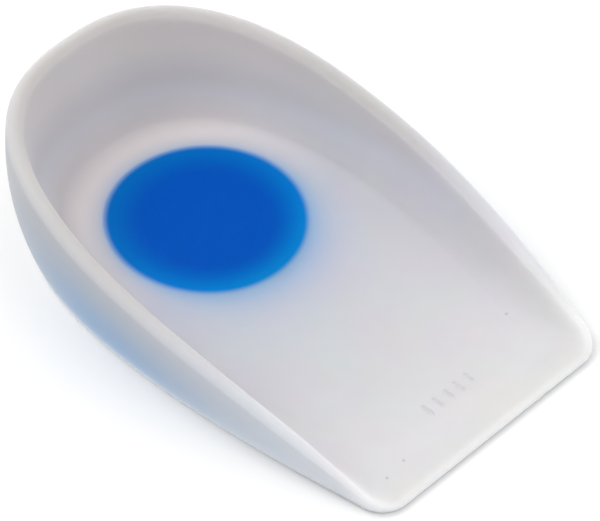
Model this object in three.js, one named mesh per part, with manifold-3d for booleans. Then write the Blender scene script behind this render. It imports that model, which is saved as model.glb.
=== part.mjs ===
// Heel cup: a soft clear silicone cup that goes in a shoe under the heel, with a
// round spot of softer blue silicone seated under the middle of the heel.
// Millimetres, +Z up. The thin front edge is towards -Y, the heel towards +Y.
import * as THREE from 'three';
import Module from 'manifold-3d';

// The cup, seen from above. The width is across the rim and the length from the
// front edge to the back of the rim.
const cupWidth = 75;
const cupLength = 114.8;
const widestPlace = 56.1;
const frontWidth = 61;
const cornerRadius = 5.1;

// Shape of the two parts of the outline: the heel end is a superellipse with
// this power, and the sides draw in towards the front with this one.
const heelPower = 2.48;
const taperPower = 1.62;

// The wall. The rim is highest at the back of the heel and runs out to nothing
// at the front. The foot of the outer face stands in from the rim, and the face
// swells out between the two by up to the wall bulge.
const rimHeight = 30;
const rimThickness = 3.5;
const frontThickness = 1.3;
const heelDrawIn = 3.7;
const sideDrawIn = 2.6;
const wallBulge = 1.45;
const bottomEdgeRadius = 1;

// Height of the rim along the length: [share of cupLength, share of rimHeight].
const rimProfile = [[0, 0.047], [0.05, 0.128], [0.2, 0.343], [0.4, 0.56], [0.6, 0.727], [0.8, 0.882], [1, 1]];

// The floor is thickest under the heel and thins towards the front:
// [share of cupLength, share of floorThickness].
const floorThickness = 6.9;
const floorProfile = [[0, 0.3], [0.1, 0.38], [0.3, 0.6], [0.5, 0.8], [0.65, 0.94], [0.8, 1], [1, 1]];

// How far in from the rim the inner face runs out on the floor. At the front it
// is a ramp that leads down to the edge.
const heelFootReach = 11;
const sideFootReach = 8.5;
const cornerFootReach = 10;
const frontFootReach = 9.5;

// The soft spot and the pocket that it lies in. The pocket is open below, and a
// thin skin of the clear silicone closes it above.
const spotRadius = 20.2;
const spotFromFront = 75.5;
const skinThickness = 0.8;
const seatGap = 0.3;
const spotEdgeRadius = 1.2;
const spotChamfer = 0.4;

// A row of short raised bars near the front.
const markCount = 5;
const markPitch = 2.9;
const markLength = 3;
const markRadius = 0.45;
const markRise = 0.25;
const markFromFront = 12.2;

const wasm = await Module();
wasm.setup();

// A smooth curve through the points of a table of shares that never overshoots.
function curve(table, place) {
  const last = table.length - 1;
  const slopes = [];
  for (let i = 0; i < last; i += 1) {
    slopes.push((table[i + 1][1] - table[i][1]) / (table[i + 1][0] - table[i][0]));
  }
  const tangent = (i) => {
    if (i === 0) return slopes[0];
    if (i === last) return slopes[last - 1];
    if (slopes[i - 1] * slopes[i] <= 0) return 0;
    return 2 / (1 / slopes[i - 1] + 1 / slopes[i]);
  };
  const x = THREE.MathUtils.clamp(place, table[0][0], table[last][0]);
  let i = 0;
  while (i < last - 1 && x > table[i + 1][0]) i += 1;
  const step = table[i + 1][0] - table[i][0];
  const u = (x - table[i][0]) / step;
  const rise = table[i][1] * (1 + 2 * u) * (1 - u) ** 2 + table[i + 1][1] * u * u * (3 - 2 * u);
  return rise + step * (tangent(i) * u * (1 - u) ** 2 - tangent(i + 1) * u * u * (1 - u));
}

// Half the width of the rim at a distance from the front edge, ahead of the
// widest place and before the corners are rounded.
function sideHalfWidth(y) {
  const share = Math.max(widestPlace - y, 0) / widestPlace;
  return cupWidth / 2 - (cupWidth - frontWidth) / 2 * share ** taperPower;
}

// The outline of the rim from the back of the heel along the +X side to the end
// of the side, in short steps.
function fineSide() {
  const points = [];
  const heelLength = cupLength - widestPlace;
  const heelSteps = 240;
  for (let i = 0; i <= heelSteps; i += 1) {
    const angle = (i / heelSteps) * Math.PI / 2;
    const x = (cupWidth / 2) * Math.sin(angle) ** (2 / heelPower);
    const y = widestPlace + heelLength * Math.max(Math.cos(angle), 0) ** (2 / heelPower);
    points.push(new THREE.Vector2(x, y));
  }
  const sideSteps = 80;
  for (let i = 1; i <= sideSteps; i += 1) {
    const y = widestPlace + (cornerRadius - widestPlace) * (i / sideSteps);
    points.push(new THREE.Vector2(sideHalfWidth(y), y));
  }
  return points;
}

// One half of the outline. The long side is walked in steps that are closer
// together where it turns, then come the rounded corner and the front edge.
function halfOutline() {
  const fine = fineSide();
  const walked = [0];
  let heading = 0;
  for (let i = 1; i < fine.length; i += 1) {
    const step = fine[i].clone().sub(fine[i - 1]);
    const turn = Math.abs(step.angle() - heading);
    heading = step.angle();
    const turning = i > 1 ? Math.min(turn, Math.PI * 2 - turn) : 0;
    walked.push(walked[i - 1] + step.length() + turning * cupWidth * 0.4);
  }
  const points = [];
  const sideSteps = 34;
  for (let i = 0; i <= sideSteps; i += 1) {
    const want = walked[walked.length - 1] * (i / sideSteps);
    let k = 0;
    while (k < fine.length - 2 && want > walked[k + 1]) k += 1;
    const u = (want - walked[k]) / (walked[k + 1] - walked[k]);
    points.push(new THREE.Vector2().lerpVectors(fine[k], fine[k + 1], u));
  }
  const cornerSteps = 6;
  for (let i = 1; i <= cornerSteps; i += 1) {
    const angle = (i / cornerSteps) * Math.PI / 2;
    const y = cornerRadius * (1 - Math.sin(angle));
    points.push(new THREE.Vector2(sideHalfWidth(y) - cornerRadius * (1 - Math.cos(angle)), y));
  }
  const frontSteps = 6;
  const frontX = points[points.length - 1].x;
  for (let i = 1; i <= frontSteps; i += 1) {
    points.push(new THREE.Vector2(frontX * (1 - i / frontSteps), 0));
  }
  return points;
}

// The whole outline, clockwise seen from above, with the inward direction at
// each point.
function outline() {
  const half = halfOutline();
  const points = half.slice();
  for (let i = half.length - 2; i > 0; i -= 1) {
    points.push(new THREE.Vector2(-half[i].x, half[i].y));
  }
  const count = points.length;
  return points.map((point, i) => {
    const before = points[(i + count - 1) % count];
    const after = points[(i + 1) % count];
    const along = after.clone().sub(before).normalize();
    return { point, inward: new THREE.Vector2(along.y, -along.x) };
  });
}

// Top of the floor at a distance from the front edge.
function floorHeight(y) {
  return floorThickness * curve(floorProfile, y / cupLength);
}

// The place on the floor where the inner face that starts at a point of the rim
// runs out. It is drawn in across and along, so the corners stay rounded.
function footPlace(rim) {
  const ahead = Math.max(1 - rim.y / widestPlace, 0);
  const behind = Math.max((rim.y - widestPlace) / (cupLength - widestPlace), 0);
  const reach = sideFootReach + (cornerFootReach - sideFootReach) * ahead;
  const x = rim.x * (1 - reach / sideHalfWidth(rim.y));
  return new THREE.Vector2(x, rim.y + frontFootReach * ahead - heelFootReach * behind);
}

// The section of the wall at one point of the outline, as points from the floor
// over the rim and down to the flat underside.
function wallSection(column) {
  const rim = column.point;
  const share = rim.y / cupLength;
  const height = rimHeight * curve(rimProfile, share);
  const thin = frontThickness / rimThickness;
  const thickness = rimThickness * curve([[0, thin], [0.05, thin * 1.4], [0.2, 0.85], [0.5, 1], [1, 1]], share);
  const round = Math.min(thickness, height) / 2;
  const drawIn = curve([[0, sideDrawIn * 0.07], [0.5, sideDrawIn], [1, heelDrawIn]], share);
  const bulge = wallBulge * Math.min(1, share / 0.3);
  const bottom = Math.min(bottomEdgeRadius, round * 0.9);
  const section = [];
  const place = (inset, z) => {
    section.push(new THREE.Vector3(rim.x + column.inward.x * inset, rim.y + column.inward.y * inset, z));
  };

  // The rounded top of the rim goes over to the inner face where the two have
  // one slope: upright on a high wall, level on the front edge.
  const foot = footPlace(rim);
  const footZ = floorHeight(foot.y);
  const upright = THREE.MathUtils.clamp((height - footZ) / (rimThickness * 1.6), 0, 1);
  const turn = (1 - upright) * Math.PI / 2;
  const start = new THREE.Vector2(round * (1 + Math.cos(turn)), height - round * (1 - Math.sin(turn)));
  const reach = foot.distanceTo(rim);
  const run = reach - start.x;
  const lead = upright * (start.y - footZ) * 0.38 + (1 - upright) * run * 0.35;
  const face = new THREE.CubicBezierCurve(
    new THREE.Vector2(reach, footZ),
    new THREE.Vector2(reach - run * (0.4 + 0.22 * upright), footZ),
    new THREE.Vector2(start.x + Math.sin(turn) * lead, start.y - Math.cos(turn) * lead),
    start,
  );
  const rimEnd = rim.clone().addScaledVector(column.inward, start.x);
  const faceSteps = 10;
  for (let i = 0; i < faceSteps; i += 1) {
    const p = face.getPoint(i / faceSteps);
    const plan = rimEnd.clone().lerp(foot, (p.x - start.x) / run);
    section.push(new THREE.Vector3(plan.x, plan.y, p.y));
  }
  const rimSteps = 8;
  for (let i = 0; i <= rimSteps; i += 1) {
    const angle = turn + (Math.PI - turn) * (i / rimSteps);
    place(round * (1 + Math.cos(angle)), height - round * (1 - Math.sin(angle)));
  }

  // The outer face, which bulges a little, and the rounded edge below it.
  const faceHeight = height - round - bottom;
  const outerSteps = 7;
  for (let i = 1; i <= outerSteps; i += 1) {
    const up = 1 - i / outerSteps;
    place(drawIn * (1 - up) - 4 * bulge * up * (1 - up), bottom + faceHeight * up);
  }
  const edgeSteps = 3;
  for (let i = 1; i <= edgeSteps; i += 1) {
    const angle = (i / edgeSteps) * Math.PI / 2;
    place(drawIn + bottom * (1 - Math.cos(angle)), bottom * (1 - Math.sin(angle)));
  }
  return section;
}

// A closed surface from rings of points, with one point closing each end.
function closedSurface(firstPoint, rings, lastPoint) {
  const count = rings[0].length;
  const places = [firstPoint, ...rings.flat(), lastPoint];
  const faces = [];
  const at = (ring, column) => 1 + ring * count + (column % count);
  for (let j = 0; j < count; j += 1) {
    faces.push(0, at(0, j), at(0, j + 1));
  }
  for (let i = 0; i < rings.length - 1; i += 1) {
    for (let j = 0; j < count; j += 1) {
      faces.push(at(i, j), at(i + 1, j), at(i + 1, j + 1));
      faces.push(at(i, j), at(i + 1, j + 1), at(i, j + 1));
    }
  }
  const end = places.length - 1;
  for (let j = 0; j < count; j += 1) {
    faces.push(end, at(rings.length - 1, j + 1), at(rings.length - 1, j));
  }
  const geometry = new THREE.BufferGeometry();
  const flat = places.flatMap((p) => [p.x, p.y, p.z]);
  geometry.setAttribute('position', new THREE.Float32BufferAttribute(flat, 3));
  geometry.setIndex(faces);
  return geometry;
}

// Turns a surface inside out when it encloses less than nothing.
function facingOut(geometry) {
  const position = geometry.getAttribute('position');
  const index = geometry.getIndex().array;
  const a = new THREE.Vector3();
  const b = new THREE.Vector3();
  const c = new THREE.Vector3();
  let volume = 0;
  for (let i = 0; i < index.length; i += 3) {
    a.fromBufferAttribute(position, index[i]);
    b.fromBufferAttribute(position, index[i + 1]);
    c.fromBufferAttribute(position, index[i + 2]);
    volume += a.dot(b.cross(c));
  }
  if (volume < 0) {
    for (let i = 0; i < index.length; i += 3) {
      const kept = index[i];
      index[i] = index[i + 1];
      index[i + 1] = kept;
    }
  }
  return geometry;
}

// A ring of points round the middle of the spot, in the direction of each
// column of the outline, so that the rings join without twisting.
function spotRing(columns, radius, heightAt) {
  return columns.map((column) => {
    const angle = Math.atan2(column.point.y - spotFromFront, column.point.x);
    const x = radius * Math.cos(angle);
    const y = spotFromFront + radius * Math.sin(angle);
    return new THREE.Vector3(x, y, heightAt(y));
  });
}

// The cup without its raised bars: rings from the middle of the floor outwards,
// over the wall, and along the underside into the pocket of the spot.
function cupBody() {
  const columns = outline();
  const sections = columns.map(wallSection);
  const wallRings = sections[0].map((_, i) => sections.map((section) => section[i]));

  const rings = [
    spotRing(columns, spotRadius * 0.5, floorHeight),
    spotRing(columns, spotRadius, floorHeight),
  ];
  const floorSteps = 6;
  const spotEdge = rings[1];
  const foot = wallRings[0];
  for (let i = 1; i < floorSteps; i += 1) {
    rings.push(spotEdge.map((p, j) => {
      const q = p.clone().lerp(foot[j], i / floorSteps);
      q.z = floorHeight(q.y);
      return q;
    }));
  }
  rings.push(...wallRings);

  const pocketTop = floorHeight(spotFromFront - spotRadius) - skinThickness;
  const pocketRadius = spotRadius + seatGap;
  const pocketRound = spotEdgeRadius;
  rings.push(spotRing(columns, pocketRadius, () => 0));
  const roundSteps = 3;
  for (let i = 0; i <= roundSteps; i += 1) {
    const angle = (i / roundSteps) * Math.PI / 2;
    const radius = pocketRadius - pocketRound * (1 - Math.cos(angle));
    rings.push(spotRing(columns, radius, () => pocketTop - pocketRound * (1 - Math.sin(angle))));
  }

  const top = new THREE.Vector3(0, spotFromFront, floorHeight(spotFromFront));
  const ceiling = new THREE.Vector3(0, spotFromFront, pocketTop);
  return facingOut(closedSurface(top, rings, ceiling));
}

// The spot is a round plug, flat above and below.
function spotBody() {
  const height = floorHeight(spotFromFront - spotRadius) - skinThickness - seatGap;
  const points = [
    new THREE.Vector2(0, 0),
    new THREE.Vector2(spotRadius - spotChamfer, 0),
    new THREE.Vector2(spotRadius, spotChamfer),
  ];
  const roundSteps = 5;
  for (let i = 0; i <= roundSteps; i += 1) {
    const angle = (i / roundSteps) * Math.PI / 2;
    const x = spotRadius - spotEdgeRadius * (1 - Math.cos(angle));
    points.push(new THREE.Vector2(x, height - spotEdgeRadius * (1 - Math.sin(angle))));
  }
  points.push(new THREE.Vector2(0, height));
  const segments = 72;
  const rings = points.slice(1, -1).map((p) => {
    const ring = [];
    for (let j = 0; j < segments; j += 1) {
      const angle = (j / segments) * Math.PI * 2;
      ring.push(new THREE.Vector3(p.x * Math.cos(angle), spotFromFront + p.x * Math.sin(angle), p.y));
    }
    return ring;
  });
  const below = new THREE.Vector3(0, spotFromFront, 0);
  const above = new THREE.Vector3(0, spotFromFront, height);
  return facingOut(closedSurface(below, rings, above));
}

// One raised bar, sunk in the floor so that only its rounded back stands out.
function markBody(x) {
  const bar = new THREE.CapsuleGeometry(markRadius, markLength - markRadius * 2, 5, 12);
  const low = floorHeight(markFromFront - markLength / 2);
  const high = floorHeight(markFromFront + markLength / 2);
  bar.rotateX(Math.atan2(high - low, markLength));
  bar.translate(x, markFromFront, floorHeight(markFromFront) + markRise - markRadius);
  return bar;
}

// The same surface as a solid that can be joined to another.
function toSolid(geometry) {
  const plain = new wasm.Mesh({
    numProp: 3,
    vertProperties: new Float32Array(geometry.getAttribute('position').array),
    triVerts: new Uint32Array(geometry.getIndex().array),
  });
  plain.merge();
  return new wasm.Manifold(plain);
}

function toGeometry(solid) {
  const mesh = solid.getMesh();
  const geometry = new THREE.BufferGeometry();
  geometry.setAttribute('position', new THREE.BufferAttribute(new Float32Array(mesh.vertProperties), 3));
  geometry.setIndex(new THREE.BufferAttribute(new Uint32Array(mesh.triVerts), 1));
  geometry.computeVertexNormals();
  return geometry;
}

let cup = toSolid(cupBody());
for (let i = 0; i < markCount; i += 1) {
  cup = cup.add(toSolid(markBody((i - (markCount - 1) / 2) * markPitch)));
}
const cupGeometry = toGeometry(cup);
const spotGeometry = spotBody();
spotGeometry.computeVertexNormals();

// The origin goes under the middle of the cup, on the surface that it rests on.
cupGeometry.computeBoundingBox();
const box = cupGeometry.boundingBox;
const middle = (box.min.y + box.max.y) / 2;
cupGeometry.translate(0, -middle, -box.min.z);
spotGeometry.translate(0, -middle, -box.min.z);

const clearSilicone = new THREE.MeshStandardMaterial({
  name: 'clear_silicone',
  color: 0xe4e6ee,
  roughness: 0.3,
  metalness: 0,
  transparent: true,
  opacity: 0.72,
});
const blueGel = new THREE.MeshStandardMaterial({
  name: 'blue_gel',
  color: 0x1560b8,
  roughness: 0.42,
  metalness: 0,
});

const heelCup = new THREE.Mesh(cupGeometry, clearSilicone);
heelCup.name = 'heel_cup';
const gelSpot = new THREE.Mesh(spotGeometry, blueGel);
gelSpot.name = 'gel_spot';

const group = new THREE.Group();
group.name = 'silicone_heel_cup';
group.add(heelCup, gelSpot);

export default group;
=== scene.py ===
import math

import bpy
import numpy as np
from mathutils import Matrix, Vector


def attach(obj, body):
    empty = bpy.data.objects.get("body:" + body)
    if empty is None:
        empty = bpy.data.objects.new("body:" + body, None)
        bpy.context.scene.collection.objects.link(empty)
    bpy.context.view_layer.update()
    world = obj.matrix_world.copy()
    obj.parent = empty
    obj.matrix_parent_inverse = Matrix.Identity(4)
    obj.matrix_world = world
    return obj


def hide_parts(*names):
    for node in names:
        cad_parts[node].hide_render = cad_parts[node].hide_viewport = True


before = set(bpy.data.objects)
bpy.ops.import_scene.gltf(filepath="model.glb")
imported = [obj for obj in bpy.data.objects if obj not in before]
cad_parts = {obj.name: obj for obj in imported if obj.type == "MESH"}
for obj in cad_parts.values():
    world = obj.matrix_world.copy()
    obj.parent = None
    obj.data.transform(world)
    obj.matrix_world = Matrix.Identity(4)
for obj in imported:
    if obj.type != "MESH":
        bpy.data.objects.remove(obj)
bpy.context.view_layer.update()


# The cup: one moulding of clear, slightly milky silicone that goes in a shoe under
# the heel. It is poured in a polished mould, so its skin is smooth and every edge
# is round: a high wall round the heel, side walls that run out, a thin front edge.
cup_width = 0.075
cup_length = 0.1148
widest_place = 0.0561
front_width = 0.061
corner_radius = 0.0051
heel_power = 2.48
taper_power = 1.62
rim_height = 0.030
rim_thickness = 0.0035
front_thickness = 0.0013
heel_draw_in = 0.0037
side_draw_in = 0.0026
wall_bulge = 0.00145
bottom_edge_radius = 0.001
floor_thickness = 0.0069
heel_foot_reach = 0.011
side_foot_reach = 0.0085
corner_foot_reach = 0.010
front_foot_reach = 0.0095
spot_radius = 0.0202
spot_from_front = 0.0755
skin_thickness = 0.0008
seat_gap = 0.0003
spot_edge_radius = 0.0012
middle = 0.05752
bar_count = 5
bar_pitch = 0.0029
bar_length = 0.0030
bar_half_width = 0.0004
bar_rise = 0.00025
bars_from_front = 0.0122
bluest_from_front = 0.068
blue_reach_behind = 0.023
blue_reach_ahead = 0.033
low_wall = 0.010
high_wall = 0.020
hollow_low_wall = 0.016
hollow_high_wall = 0.024
hollow_height = 0.0138
hollow_reach = 0.0042
warm_rise = 0.007
cool_height = 0.0102
cool_reach = 0.0026
shade_reach = 0.004
least_shade = 0.16
more_shade = 0.26
darkest_bend = 1.0
shade_bend = 0.6
gloss_starts, gloss_full, gloss_fades, gloss_ends = 1.7, 2.2, 2.4, 2.7
underside_gain = 0.002
foot_glow_height = 0.0024
foot_glow_wall = 0.014
nick_place = 0.01425
nick_depth = 0.00012
nick_width = 0.0005
upright_rise = 1.6
low_floor_lead = 0.40
full_floor_lead = 0.62
wall_lead = 0.38
edge_lead = 0.35
# Rows of a share of the cup's length from the front, and of the full height there.
rim_profile = [[0, 0.047], [0.05, 0.128], [0.2, 0.343], [0.4, 0.56], [0.6, 0.727], [0.8, 0.882], [1, 1]]
floor_profile = [[0, 0.3], [0.1, 0.38], [0.3, 0.6], [0.5, 0.8], [0.65, 0.94], [0.8, 1], [1, 1]]


def smooth_line(rows, place):
    """Value at each place of a smooth line through the (place, value) rows. Between two rows it is a cubic, and the
    slope at a row is the harmonic mean of the slopes on its two sides, so the line never swings past a row."""
    x, y = np.array(rows, float).T
    slope = np.diff(y) / np.diff(x)
    before, after = slope[:-1], slope[1:]
    same_way = before * after > 0
    inner = np.where(same_way, 2 * before * after / np.where(same_way, before + after, 1), 0)
    tangent = np.concatenate([slope[:1], inner, slope[-1:]])
    i = np.clip(np.searchsorted(x, place, side="right") - 1, 0, len(x) - 2)
    step = x[i + 1] - x[i]
    u = np.clip((place - x[i]) / step, 0, 1)
    lean = tangent[i] * u * (1 - u) ** 2 - tangent[i + 1] * u * u * (1 - u)
    return y[i] * (1 + 2 * u) * (1 - u) ** 2 + y[i + 1] * u * u * (3 - 2 * u) + step * lean


def ramp(value, low, high):
    """0 up to low, 1 from high, and straight between the two."""
    return np.clip((value - low) / (high - low), 0, 1)


def bell(distance, reach):
    """1 at no distance, falling by e to the minus square of the distance over the reach."""
    return np.exp(-((distance / reach) ** 2))


def side_half_width(y):
    """Half the width of the rim at y from the front edge: a power of the distance ahead of the widest place."""
    share = np.maximum(widest_place - y, 0) / widest_place
    return cup_width / 2 - (cup_width - front_width) / 2 * share**taper_power


def rim_outline(side_steps, corner_steps, front_steps):
    """The rim from above, as points and inward directions, clockwise from the back of the heel. The heel end is half a
    superellipse, the sides follow side_half_width, the corners are quarter rounds and the front edge is straight.
    The long side is walked in steps that are closer together where it turns, the front in steps that are closest
    together in its middle, ahead of the raised bars. The front edge has one small nick."""
    angle = np.linspace(0, np.pi / 2, 900)
    heel = np.stack(
        [
            cup_width / 2 * np.sin(angle) ** (2 / heel_power),
            widest_place + (cup_length - widest_place) * np.cos(angle).clip(0) ** (2 / heel_power),
        ],
        1,
    )
    y = np.linspace(widest_place, corner_radius, 500)[1:]
    fine = np.concatenate([heel, np.stack([side_half_width(y), y], 1)])
    step = np.diff(fine, axis=0)
    heading = np.unwrap(np.arctan2(step[:, 1], step[:, 0]))
    turning = np.abs(np.diff(heading, prepend=heading[0])) * cup_width * 0.4
    walked = np.concatenate([[0], np.cumsum(np.hypot(step[:, 0], step[:, 1]) + turning)])
    want = np.linspace(0, walked[-1], side_steps + 1)
    side = np.stack([np.interp(want, walked, fine[:, 0]), np.interp(want, walked, fine[:, 1])], 1)
    angle = np.linspace(0, np.pi / 2, corner_steps + 1)[1:]
    y = corner_radius * (1 - np.sin(angle))
    corner = np.stack([side_half_width(y) - corner_radius * (1 - np.cos(angle)), y], 1)
    spread = np.linspace(1, 0, front_steps + 1)[1:]
    edge = np.stack([corner[-1, 0] * (0.55 * spread + 0.45 * spread**4), np.zeros(front_steps)], 1)
    half = np.concatenate([side, corner, edge])
    whole = np.concatenate([half, half[-2:0:-1] * [-1, 1]])
    whole[:, 1] += nick_depth * bell(whole[:, 0] - nick_place, nick_width) * (whole[:, 1] < 0.0001)
    along = np.roll(whole, -1, axis=0) - np.roll(whole, 1, axis=0)
    along /= np.linalg.norm(along, axis=1, keepdims=True)
    return whole, np.stack([along[:, 1], -along[:, 0]], 1)


def floor_height(y):
    """Top of the floor at y from the front edge, from the table of shares."""
    return floor_thickness * smooth_line(floor_profile, y / cup_length)


def bar_relief(plan):
    """How far the five raised bars near the front lift the floor at each point: a soft step that falls with the
    distance from the nearest bar's middle line, which runs along the cup."""
    number = np.arange(bar_count) - (bar_count - 1) / 2
    across = plan[:, 0, None] - number * bar_pitch
    along = np.maximum(np.abs(plan[:, 1, None] - bars_from_front) - (bar_length / 2 - bar_half_width), 0)
    near = np.clip(1.35 - np.hypot(across, along).min(1) / bar_half_width, 0, 1)
    return bar_rise * near * near * (3 - 2 * near)


def foot_line(rim):
    """Where the inner face that starts at each point of the rim runs out on the floor: the rim's outline drawn in by
    one reach across and another along, so that its corners stay round."""
    x, y = rim.T
    ahead = np.maximum(1 - y / widest_place, 0)
    behind = np.maximum((y - widest_place) / (cup_length - widest_place), 0)
    reach = side_foot_reach + (corner_foot_reach - side_foot_reach) * ahead
    return np.stack(
        [x * (1 - reach / side_half_width(y)), y + front_foot_reach * ahead - heel_foot_reach * behind], 1
    )


def cup_rings(rim, inward):
    """The cup's whole surface as rings of points, one column for each point of the outline, from the middle of the top
    of the spot over the floor, the inner face, the rim, the outer face and the underside into the pocket. The inner
    face is a cubic Bezier curve that leaves the floor level and meets the rounded rim with one slope, its two handles
    being shares of the run and of the rise; the outer face leans in by its draw-in and bulges by a parabola.

    Each ring carries shares for the finish, some of them painted light and shade: how thick the silicone is below it,
    how far it is round on the outside, where the colour is darker, partly by painted shade, how much of the gel's
    blue comes through, most low on the outer face by the spot, how much painted shade it gets in the hollow of the
    inner face, a band that is strongest at hollow_height where the wall is high, how far it is in the warmer wall above
    that band or the cooler one below it, how much painted shade it gets on the rim's inner half, and how glossy the
    rim's shoulder is. Angles round the rim's profile are 0 at its inner side, a quarter turn on top and half a turn
    outside."""
    count = len(rim)
    share = rim[:, 1] / cup_length
    height = rim_height * smooth_line(rim_profile, share)
    thin = front_thickness / rim_thickness
    round_rows = [[0, thin], [0.05, thin * 1.4], [0.2, 0.85], [0.5, 1], [1, 1]]
    round_radius = np.minimum(rim_thickness * smooth_line(round_rows, share), height) / 2
    draw_in = smooth_line([[0, side_draw_in * 0.07], [0.5, side_draw_in], [1, heel_draw_in]], share)
    bulge = wall_bulge * np.minimum(1, share / 0.3)
    bottom = np.minimum(bottom_edge_radius, round_radius * 0.9)
    tall = ramp(height, low_wall, high_wall)
    rings = []
    names = ["thickness", "outside", "blue_light", "wall_hollow", "wall_warm", "wall_cool", "rim_shade", "rim_gloss"]
    carried = {name: [] for name in names}

    def ring(plan, z, **shares):
        """Adds one ring and its shares. A share that isn't given is 0."""
        rings.append(np.column_stack([plan, np.broadcast_to(z, count)]))
        for name, values in carried.items():
            values.append(np.broadcast_to(shares.get(name, 0), count).astype(float))

    def from_outside(away, z):
        """How far a point at height z, that far in from the rim's outline, is from the outer face, measured level."""
        up = ramp(z, bottom, height - round_radius)
        return away - draw_in * (1 - up) + 4 * bulge * up * (1 - up)

    def shade_at(bend):
        """How much painted shade the rim gets at an angle round its profile: most a little inside its top."""
        return tall * (least_shade + more_shade * bell(bend - darkest_bend, shade_bend))

    def warmth(z):
        """How far the wall is warm at height z: from nothing in the hollow to all of it warm_rise higher."""
        return tall * ramp(z, hollow_height, hollow_height + warm_rise)

    foot = foot_line(rim)
    foot_z = floor_height(foot[:, 1])
    upright = ramp(height, foot_z, foot_z + rim_thickness * upright_rise)
    turn = (1 - upright) * np.pi / 2
    start_in = round_radius * (1 + np.cos(turn))
    start_z = height - round_radius * (1 - np.sin(turn))
    reach = np.linalg.norm(foot - rim, axis=1)
    run = reach - start_in

    angle = np.arctan2(rim[:, 1] - spot_from_front, rim[:, 0])
    spoke = np.stack([np.cos(angle), np.sin(angle)], 1)
    centre = np.array([0, spot_from_front])
    for share_out in np.linspace(0.08, 1, 12):
        plan = centre + spoke * spot_radius * share_out
        ring(plan, floor_height(plan[:, 1]), thickness=floor_height(plan[:, 1]))
    edge = centre + spoke * spot_radius
    for share_out in np.concatenate([np.linspace(0, 0.88, 37)[1:], np.linspace(0.88, 1, 24)[1:-1]]):
        plan = edge + (foot - edge) * share_out
        z = floor_height(plan[:, 1]) + bar_relief(plan)
        across = from_outside(reach, floor_height(plan[:, 1])) + np.linalg.norm(plan - foot, axis=1)
        ring(plan, z, thickness=z * across / np.hypot(z, across))

    rim_end = rim + inward * start_in[:, None]
    floor_lead = run * (low_floor_lead + (full_floor_lead - low_floor_lead) * upright)
    lead = upright * (start_z - foot_z) * wall_lead + (1 - upright) * run * edge_lead
    inset = np.array([reach, reach - floor_lead, start_in + np.sin(turn) * lead, start_in])
    rise = np.array([foot_z, foot_z, start_z - np.cos(turn) * lead, start_z])
    for u in np.linspace(0, 1, 37)[:-1]:
        weight = np.array([(1 - u) ** 3, 3 * u * (1 - u) ** 2, 3 * u * u * (1 - u), u**3])
        away, z = weight @ inset, weight @ rise
        plan = rim_end + (foot - rim_end) * ((away - start_in) / run)[:, None]
        across = from_outside(away, z)
        ring(
            plan,
            z,
            thickness=z * across / np.hypot(z, across),
            # painted shade in the hollow of the inner face
            wall_hollow=bell(z - hollow_height, hollow_reach) * ramp(height, hollow_low_wall, hollow_high_wall),
            wall_warm=warmth(z),
            wall_cool=tall * bell(z - cool_height, cool_reach),
            rim_shade=shade_at(turn) * bell(start_z - z, shade_reach),
        )
    for u in np.linspace(0, 1, 19):
        bend = turn + (np.pi - turn) * u
        away = round_radius * (1 + np.cos(bend))
        z = height - round_radius * (1 - np.sin(bend))
        ring(
            rim + inward * away[:, None],
            z,
            thickness=2 * round_radius,
            outside=ramp(bend, turn, np.pi) ** 1.2,
            wall_warm=warmth(z),
            # painted shade on the rim's inner half
            rim_shade=shade_at(bend) * (1 - ramp(bend, gloss_starts, gloss_ends)),
            rim_gloss=ramp(bend, gloss_starts, gloss_full) * (1 - ramp(bend, gloss_fades, gloss_ends)),
        )

    face_height = height - round_radius - bottom
    past = rim[:, 1] - bluest_from_front
    lit = bell(past, np.where(past > 0, blue_reach_behind, blue_reach_ahead))
    for up in np.linspace(1, 0, 27)[1:]:
        away = draw_in * (1 - up) - 4 * bulge * up * (1 - up)
        plan = rim + inward * away[:, None]
        blueness = lit * (1 - up**2) ** 1.2
        ring(plan, bottom + face_height * up, thickness=2 * round_radius, outside=1, blue_light=blueness)
    for turned in np.linspace(0, np.pi / 2, 7)[1:]:
        away = draw_in + bottom * (1 - np.cos(turned))
        plan = rim + inward * away[:, None]
        ring(plan, bottom * (1 - np.sin(turned)), thickness=2 * round_radius, outside=1, blue_light=lit)

    below = rings[-1][:, :2]
    pocket = centre + spoke * (spot_radius + seat_gap)
    for share_in in np.linspace(0, 1, 16)[1:]:
        plan = below + (pocket - below) * share_in
        thickness = np.minimum(np.minimum(reach, foot_z) + underside_gain * share_in, floor_height(plan[:, 1]))
        ring(plan, 0, thickness=thickness)
    pocket_top = floor_height(np.array([spot_from_front - spot_radius]))[0] - skin_thickness
    for turned in np.linspace(0, np.pi / 2, 6):
        away = spot_radius + seat_gap - spot_edge_radius * (1 - math.cos(turned))
        z = pocket_top - spot_edge_radius * (1 - math.sin(turned))
        ring(centre + spoke * away, z, thickness=skin_thickness)
    top = [0, spot_from_front, floor_height(np.array([spot_from_front]))[0]]
    ceiling = [0, spot_from_front, pocket_top]
    carried["wall_height"] = [height] * len(rings)
    return top, np.array(rings), ceiling, {name: np.array(values) for name, values in carried.items()}


def closed_faces(ring_count, column_count):
    """Faces of a surface of rings closed by one point at each end: three-cornered at the ends, four-cornered between.
    Point 0 is the first end, then come the rings, and the last point is the other end."""

    def at(ring_number, column):
        return 1 + ring_number * column_count + column

    i, j = np.meshgrid(np.arange(ring_count - 1), np.arange(column_count), indexing="ij")
    k = (j + 1) % column_count
    fours = np.stack([at(i, j), at(i + 1, j), at(i + 1, k), at(i, k)], -1).reshape(-1, 4)
    j = np.arange(column_count)
    k = (j + 1) % column_count
    first = np.stack([j * 0, at(0, j), at(0, k)], 1)
    end = 1 + ring_count * column_count
    last = np.stack([j * 0 + end, at(ring_count - 1, k), at(ring_count - 1, j)], 1)
    return fours, np.concatenate([first, last])


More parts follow.
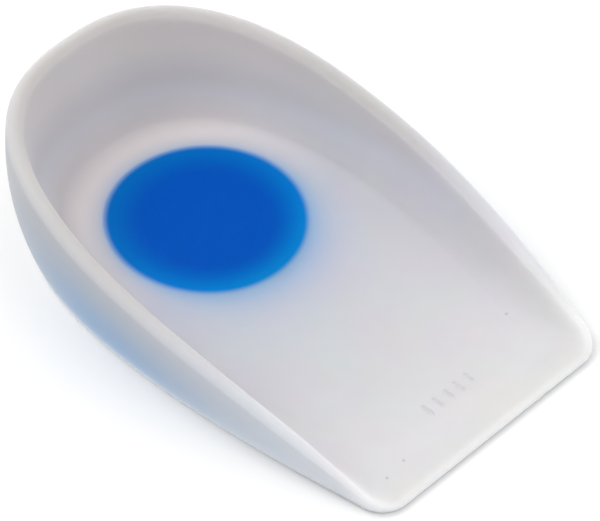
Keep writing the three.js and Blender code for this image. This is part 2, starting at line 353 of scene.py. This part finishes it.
def make_mesh(name, points, fours, threes):
    """A smooth mesh from arrays of points, four-cornered and three-cornered faces, turned so that it faces outwards."""
    corners = np.concatenate([fours[:, [0, 1, 2]], fours[:, [0, 2, 3]], threes])
    a, b, c = points[corners[:, 0]], points[corners[:, 1]], points[corners[:, 2]]
    if np.einsum("ij,ij->i", a, np.cross(b, c)).sum() < 0:
        fours, threes = fours[:, ::-1], threes[:, ::-1]
    mesh = bpy.data.meshes.new(name)
    mesh.vertices.add(len(points))
    mesh.vertices.foreach_set("co", points.ravel())
    loops = np.concatenate([fours.ravel(), threes.ravel()])
    mesh.loops.add(len(loops))
    mesh.loops.foreach_set("vertex_index", loops.astype(np.int32))
    sizes = np.concatenate([np.full(len(fours), 4), np.full(len(threes), 3)])
    mesh.polygons.add(len(sizes))
    mesh.polygons.foreach_set("loop_start", (np.cumsum(sizes) - sizes).astype(np.int32))
    mesh.polygons.foreach_set("use_smooth", np.ones(len(sizes), bool))
    mesh.update(calc_edges=True)
    piece = bpy.data.objects.new(name, mesh)
    bpy.context.collection.objects.link(piece)
    return piece


rim, inward = rim_outline(side_steps=112, corner_steps=14, front_steps=88)
top, rings, ceiling, carried = cup_rings(rim, inward)
cup_points = np.concatenate([[top], rings.reshape(-1, 3), [ceiling]])
shares = {name: np.concatenate([c[0, :1], c.ravel(), c[-1, :1]]) for name, c in carried.items()}
cup_fours, cup_threes = closed_faces(len(rings), len(rim))

haze_share = 0.75
haze_behind = 0.0005
haze_ahead = 0.0045
haze_power = 2.8
edge_power = 1.7
pale_radius = 0.0250
pale_within = 0.0034
pale_outside = 0.0054
lowest_haze = 0.004
farthest_haze = 0.042


def round_the_spot(points):
    """How far each point is ahead of the spot and not behind it, and two soft rings on the floor round the spot.
    Ahead is half of one less the cosine of the angle from straight behind, so it goes from 0 to 1. The gel's blue
    fades as e to the minus distance over a reach that is short behind the spot, where the skin over it is thick, and
    long ahead of it. Behind the spot, between it and the foot of the wall, the floor is painted paler, a painted pool
    of light, by a bell curve that is highest at pale_radius from the middle of the spot."""
    x, y, z = points.T
    away = np.hypot(x, y - spot_from_front)
    ahead = (1 - (y - spot_from_front) / np.maximum(away, 1e-6)) / 2
    fade = haze_behind + (haze_ahead - haze_behind) * ahead**haze_power
    haze = haze_share * np.exp(-np.maximum(away - spot_radius, 0) / fade)
    # Painted light: a paler ring on the floor behind the spot.
    reach = np.where(away < pale_radius, pale_within, pale_outside * (1.4 - ahead))
    pale = bell(away - pale_radius, reach) * np.clip(1.2 - 1.7 * ahead, 0, 1)
    above = (z > lowest_haze) & (away < farthest_haze)
    return ahead**edge_power, haze * above, pale * above


shares["ahead"], shares["gel_haze"], shares["painted_light_ring"] = round_the_spot(cup_points)
# Painted shade on the raised bars near the front: they are drawn darker.
shares["bar_shade"] = bar_relief(cup_points[:, :2]) / bar_rise * (cup_points[:, 2] > 0.001)
# Painted light: a pale glow low on the outer face, at its foot, most where the wall is high.
shares["painted_foot_glow"] = shares["outside"] * np.exp(-cup_points[:, 2] / foot_glow_height)
shares["painted_foot_glow"] *= np.clip(shares["wall_height"] / foot_glow_wall, 0.4, 1)
strengths = {"wall_hollow": 0.5, "wall_warm": 0.6, "wall_cool": 0.7, "rim_gloss": 0.22, "bar_shade": 0.5}
for name, strength in strengths.items():
    shares[name] *= strength

cup_points[:, 1] -= middle
cup = make_mesh("heel_cup_silicone", cup_points, cup_fours, cup_threes)
for name, values in shares.items():
    cup.data.attributes.new(name, "FLOAT", "POINT").data.foreach_set("value", values.astype(np.float32))

# Clear silicone with a little milk in it: bluish where it is thick, and a warm
# white where it is thin. Round the spot the blue gel below colours it softly.
silicone = bpy.data.materials.new("clear_silicone")
silicone.use_nodes = True
nodes, links = silicone.node_tree.nodes, silicone.node_tree.links
shader = nodes["Principled BSDF"]
shader.inputs["Roughness"].default_value = 0.5
shader.inputs["IOR"].default_value = 1.41
shader.inputs["Specular IOR Level"].default_value = 0.04
shader.inputs["Subsurface Radius"].default_value = (1.0, 1.0, 1.0)
shader.inputs["Subsurface Scale"].default_value = 0.006
shader.subsurface_method = "RANDOM_WALK"

place = nodes.new("ShaderNodeTexCoord").outputs["Object"]
thin_silicone = 0.0008
thick_silicone = 0.0070


def carried_share(name):
    """The output of a node that reads one of the shares that the cup's points carry."""
    node = nodes.new("ShaderNodeAttribute")
    node.attribute_name = name
    return node.outputs["Fac"]


def remapped(source, low, high, to_low=0.0, to_high=1.0, curve="LINEAR"):
    """The output of a node that takes low to high of a source to to_low to to_high, straight or along a curve."""
    node = nodes.new("ShaderNodeMapRange")
    node.interpolation_type = curve
    for socket, value in zip(("From Min", "From Max", "To Min", "To Max"), (low, high, to_low, to_high)):
        node.inputs[socket].default_value = value
    links.new(source, node.inputs["Value"])
    return node.outputs["Result"]


def mixed(share, first, second, blend="MIX"):
    """The output of a node that mixes a second colour into a first one by a share. Each of the three is another
    node's output or a plain value."""
    node = nodes.new("ShaderNodeMix")
    node.data_type = "RGBA"
    node.blend_type = blend
    for socket, value in (("Factor", share), ("A", first), ("B", second)):
        if isinstance(value, bpy.types.NodeSocket):
            links.new(value, node.inputs[socket])
        else:
            node.inputs[socket].default_value = value if socket == "Factor" else (*value, 1)
    return node.outputs["Result"]


def colour_ramp(share, stops):
    """The output of a colour ramp node with the given (position, colour) stops, drawn as a soft curve."""
    node = nodes.new("ShaderNodeValToRGB")
    elements = node.color_ramp.elements
    node.color_ramp.interpolation = "B_SPLINE"
    for element, (position, colour) in zip(elements, [stops[0], stops[-1]]):
        element.position = position
        element.color = (*colour, 1)
    for position, colour in stops[1:-1]:
        elements.new(position).color = (*colour, 1)
    links.new(share, node.inputs["Fac"])
    return node.outputs["Color"]


def noise(scale, detail, roughness=0.5):
    """A noise node on the piece's own coordinates, with about scale swells to the metre and finer ones on them."""
    node = nodes.new("ShaderNodeTexNoise")
    node.inputs["Scale"].default_value = scale
    node.inputs["Detail"].default_value = detail
    node.inputs["Roughness"].default_value = roughness
    links.new(place, node.inputs["Vector"])
    return node


def bumped(height, strength):
    """The output of a bump node: a height of 1 would lift the skin by a fifth of a millimetre, and the strength is
    how much of that tilt is used."""
    node = nodes.new("ShaderNodeBump")
    node.inputs["Strength"].default_value = strength
    node.inputs["Distance"].default_value = 0.0002
    links.new(height, node.inputs["Height"])
    return node.outputs["Normal"]


milk = colour_ramp(
    remapped(carried_share("thickness"), thin_silicone, thick_silicone),
    [
        (0.00, (0.74, 0.73, 0.72)),
        (0.20, (0.615, 0.605, 0.62)),
        (0.45, (0.54, 0.535, 0.555)),
        (0.70, (0.49, 0.495, 0.535)),
        (1.00, (0.40, 0.43, 0.515)),
    ],
)

# The outer face is pale where the wall is low, bluish where it is of middle
# height at the sides, and grey round the heel, where it is highest. Its darker
# tone is partly the depth of silicone and partly painted shade.
outer_face = colour_ramp(
    remapped(carried_share("wall_height"), 0, rim_height),
    [
        (0.00, (0.72, 0.72, 0.72)),
        (0.14, (0.46, 0.47, 0.49)),
        (0.28, (0.475, 0.50, 0.535)),
        (0.48, (0.435, 0.455, 0.495)),
        (0.70, (0.37, 0.38, 0.41)),
        (1.00, (0.32, 0.325, 0.335)),
    ],
)

# Slow cloudiness in the milk, a centimetre across and less, and hardly visible.
colour = mixed(0.12, milk, noise(70, 3, 0.55).outputs["Color"], "SOFT_LIGHT")

# One carried share after another: the inner face gets painted shade in its hollow
# and is warmer above it and cooler below, the outer face has its own colour, partly
# painted shade, the rim's inner half and the bars get painted shade, the plug's
# blue comes through low on the outer face, the foot gets a painted glow of light,
# the floor gets a painted ring of light behind the spot and is hazy blue round it.
layers = [
    ("wall_hollow", (0.48, 0.465, 0.458)),
    ("wall_warm", (0.59, 0.55, 0.51)),
    ("wall_cool", (0.515, 0.525, 0.572)),
    ("outside", outer_face),
    ("rim_shade", (0.29, 0.28, 0.27)),
    ("bar_shade", (0.36, 0.36, 0.40)),
    ("blue_light", (0.19, 0.31, 0.48)),
    ("painted_foot_glow", (0.84, 0.87, 0.91)),
    ("painted_light_ring", (0.64, 0.60, 0.61)),
    ("gel_haze", (0.17, 0.33, 0.58)),
]
for name, layer_colour in layers:
    colour = mixed(carried_share(name), colour, layer_colour)

# A few dark specks, about half a millimetre wide, that were moulded in.
specks = [(-0.0237, 0.0062), (-0.0183, 0.0069), (0.0231, 0.0181), (-0.0351, 0.0380)]
speck_core = 0.0001
speck_rim = 0.0005
speck_strength = 0.35
for x, from_front in specks:
    under = np.where(cup_points[:, 2] > 0.0015, 0, 1)
    near = np.argmin(np.hypot(cup_points[:, 0] - x, cup_points[:, 1] + middle - from_front) + under)
    from_speck = nodes.new("ShaderNodeVectorMath")
    from_speck.operation = "DISTANCE"
    from_speck.inputs[1].default_value = (x, from_front - middle, cup_points[near, 2])
    links.new(place, from_speck.inputs[0])
    dot = remapped(from_speck.outputs["Value"], speck_core, speck_rim, speck_strength, 0, "SMOOTHSTEP")
    colour = mixed(dot, colour, (0.16, 0.16, 0.19))

# Distance from the middle of the spot, and the edge where the gel shows through,
# which is drawn in by half a millimetre ahead of the spot.
edge_drawn_in = 0.0005
edge_inside = 0.0012
edge_outside = 0.0007
from_spot = nodes.new("ShaderNodeMapping")
from_spot.inputs["Location"].default_value = (0, -(spot_from_front - middle), 0)
links.new(place, from_spot.inputs["Vector"])
flat = nodes.new("ShaderNodeVectorMath")
flat.operation = "MULTIPLY"
flat.inputs[1].default_value = (1, 1, 0)
links.new(from_spot.outputs["Vector"], flat.inputs[0])
away = nodes.new("ShaderNodeVectorMath")
away.operation = "LENGTH"
links.new(flat.outputs["Vector"], away.inputs[0])
edge_place = nodes.new("ShaderNodeMath")
edge_place.operation = "MULTIPLY_ADD"
edge_place.inputs[1].default_value = edge_drawn_in
links.new(carried_share("ahead"), edge_place.inputs[0])
links.new(away.outputs["Value"], edge_place.inputs[2])
inside, outside = spot_radius - edge_inside, spot_radius + edge_outside
edge = remapped(edge_place.outputs["Value"], inside, outside, 1, 0, "SMOOTHERSTEP")

# The gel is lighter towards its edge, ahead of its middle more than behind it.
outward = remapped(away.outputs["Value"], spot_radius * 0.6, spot_radius, curve="SMOOTHSTEP")
edge_colour = mixed(carried_share("ahead"), (0.0, 0.13, 0.45), (0.0, 0.195, 0.585))
gel_show = mixed(outward, (0.0, 0.072, 0.41), edge_colour)
links.new(mixed(edge, colour, gel_show), shader.inputs["Base Color"])

# Little light sinks in at the thin foot. The rim's shoulder has a faint gloss.
sinks_in = remapped(carried_share("painted_foot_glow"), 0, 1, 1.0, 0.1)
links.new(sinks_in, shader.inputs["Subsurface Weight"])
links.new(carried_share("rim_gloss"), shader.inputs["Coat Weight"])
shader.inputs["Coat Roughness"].default_value = 0.3
shader.inputs["Coat IOR"].default_value = 1.41

# The skin has the mould's faint orange-peel.
links.new(bumped(noise(900, 2).outputs["Fac"], 0.05), shader.inputs["Normal"])
cup.data.materials.append(silicone)
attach(cup, "root")
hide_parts("heel_cup")


# The spot: a round plug of softer, strongly coloured blue silicone gel, cast in its
# own mould and set in the pocket under the heel before the cup cures round it.
spot_chamfer = 0.0004
spot_segments = 160


def spot_rings(segments):
    """The plug as rings round its axis: flat below, a small bevel, an upright side, a quarter round, flat above."""
    height = floor_height(np.array([spot_from_front - spot_radius]))[0] - skin_thickness - seat_gap
    turned = np.linspace(0, np.pi / 2, 12)
    radius = np.concatenate(
        [
            np.linspace(0.1, 1, 12) * (spot_radius - spot_chamfer),
            [spot_radius],
            spot_radius - spot_edge_radius * (1 - np.cos(turned)),
            np.linspace(1, 0.1, 10)[1:] * (spot_radius - spot_edge_radius),
        ]
    )
    level = np.concatenate(
        [
            np.zeros(12),
            [spot_chamfer],
            height - spot_edge_radius * (1 - np.sin(turned)),
            np.full(9, height),
        ]
    )
    angle = np.linspace(0, 2 * np.pi, segments, endpoint=False)
    x = radius[:, None] * np.cos(angle)
    y = spot_from_front - middle + radius[:, None] * np.sin(angle)
    z = np.repeat(level[:, None], segments, 1)
    rings = np.stack([x, y, z], -1)
    ends = [[0, spot_from_front - middle, 0], [0, spot_from_front - middle, height]]
    return np.concatenate([ends[:1], rings.reshape(-1, 3), ends[1:]]), len(radius)


spot_points, spot_ring_count = spot_rings(spot_segments)
spot = make_mesh("gel_spot_plug", spot_points, *closed_faces(spot_ring_count, spot_segments))
gel = bpy.data.materials.new("blue_gel")
gel.use_nodes = True
nodes, links = gel.node_tree.nodes, gel.node_tree.links
shader = nodes["Principled BSDF"]
shader.inputs["Roughness"].default_value = 0.4
shader.inputs["IOR"].default_value = 1.41
shader.inputs["Subsurface Weight"].default_value = 0.5
shader.inputs["Subsurface Radius"].default_value = (0.3, 0.6, 1.0)
shader.inputs["Subsurface Scale"].default_value = 0.002
place = nodes.new("ShaderNodeTexCoord").outputs["Object"]
swirl = noise(120, 3)
pigment = nodes.new("ShaderNodeValToRGB")
pigment.color_ramp.elements[0].color = (0.002, 0.070, 0.42, 1)
pigment.color_ramp.elements[1].color = (0.004, 0.105, 0.52, 1)
links.new(swirl.outputs["Fac"], pigment.inputs["Fac"])
links.new(pigment.outputs["Color"], shader.inputs["Base Color"])
links.new(bumped(swirl.outputs["Fac"], 0.06), shader.inputs["Normal"])
spot.data.materials.append(gel)
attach(spot, "root")
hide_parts("gel_spot")


# The table that the cup is photographed on: plain, matt and white.
table_mesh = bpy.data.meshes.new("table_top")
reach = 2.0
level = -0.0001
table_mesh.from_pydata(
    [(-reach, -reach, level), (reach, -reach, level), (reach, reach, level), (-reach, reach, level)], [], [(0, 1, 2, 3)]
)
table_top = bpy.data.objects.new("table_top", table_mesh)
bpy.context.collection.objects.link(table_top)
paper = bpy.data.materials.new("white_paper")
paper.use_nodes = True
shader = paper.node_tree.nodes["Principled BSDF"]
shader.inputs["Base Color"].default_value = (0.83, 0.83, 0.83, 1)
shader.inputs["Roughness"].default_value = 0.9
shader.inputs["Specular IOR Level"].default_value = 0.0
table_mesh.materials.append(paper)

# Soft light: a bright even room and one large lamp, well above the cup and behind
# the heel.
room = bpy.data.worlds.new("room")
bpy.context.scene.world = room
room.use_nodes = True
room.node_tree.nodes["Background"].inputs["Color"].default_value = (1, 1, 1, 1)
room.node_tree.nodes["Background"].inputs["Strength"].default_value = 1.13


def add_lamp(name, azimuth, elevation, distance, size, power, colour):
    """A square lamp that looks at the cup from an azimuth and elevation in degrees."""
    a, e = math.radians(azimuth), math.radians(elevation)
    toward = Vector((math.sin(a) * math.cos(e), -math.cos(a) * math.cos(e), math.sin(e)))
    light = bpy.data.lights.new(name, "AREA")
    light.shape = "SQUARE"
    light.size = size
    light.energy = power
    light.color = colour
    lamp = bpy.data.objects.new(name, light)
    lamp.location = toward * distance
    lamp.rotation_mode = "QUATERNION"
    lamp.rotation_quaternion = toward.to_track_quat("Z", "Y")
    bpy.context.collection.objects.link(lamp)


add_lamp("heel_lamp", azimuth=203, elevation=54, distance=1.0, size=0.5, power=3.2, colour=(1, 0.99, 0.98))

# The camera looks down at the cup from the front left with a long lens.
azimuth, elevation = math.radians(-46.735), math.radians(44.867)
back = Vector(
    (math.sin(azimuth) * math.cos(elevation), -math.cos(azimuth) * math.cos(elevation), math.sin(elevation))
)
right = Vector((math.cos(azimuth), math.sin(azimuth), 0))
up = back.cross(right)
lens = bpy.data.cameras.new("camera")
lens.lens = 322.29
lens.sensor_width = 36
camera = bpy.data.objects.new("camera", lens)
camera.location = (
    Vector((0, 0.05775 - middle, 0.012)) + back * 1.03301 + right * 0.005059 - up * 0.003396
)
camera.rotation_mode = "QUATERNION"
camera.rotation_quaternion = (-back).to_track_quat("-Z", "Y")
lens.clip_start, lens.clip_end = 0.01, 20
bpy.context.collection.objects.link(camera)
bpy.context.scene.camera = camera
bpy.context.scene.view_settings.view_transform = "Standard"
bpy.context.scene.view_settings.look = "None"
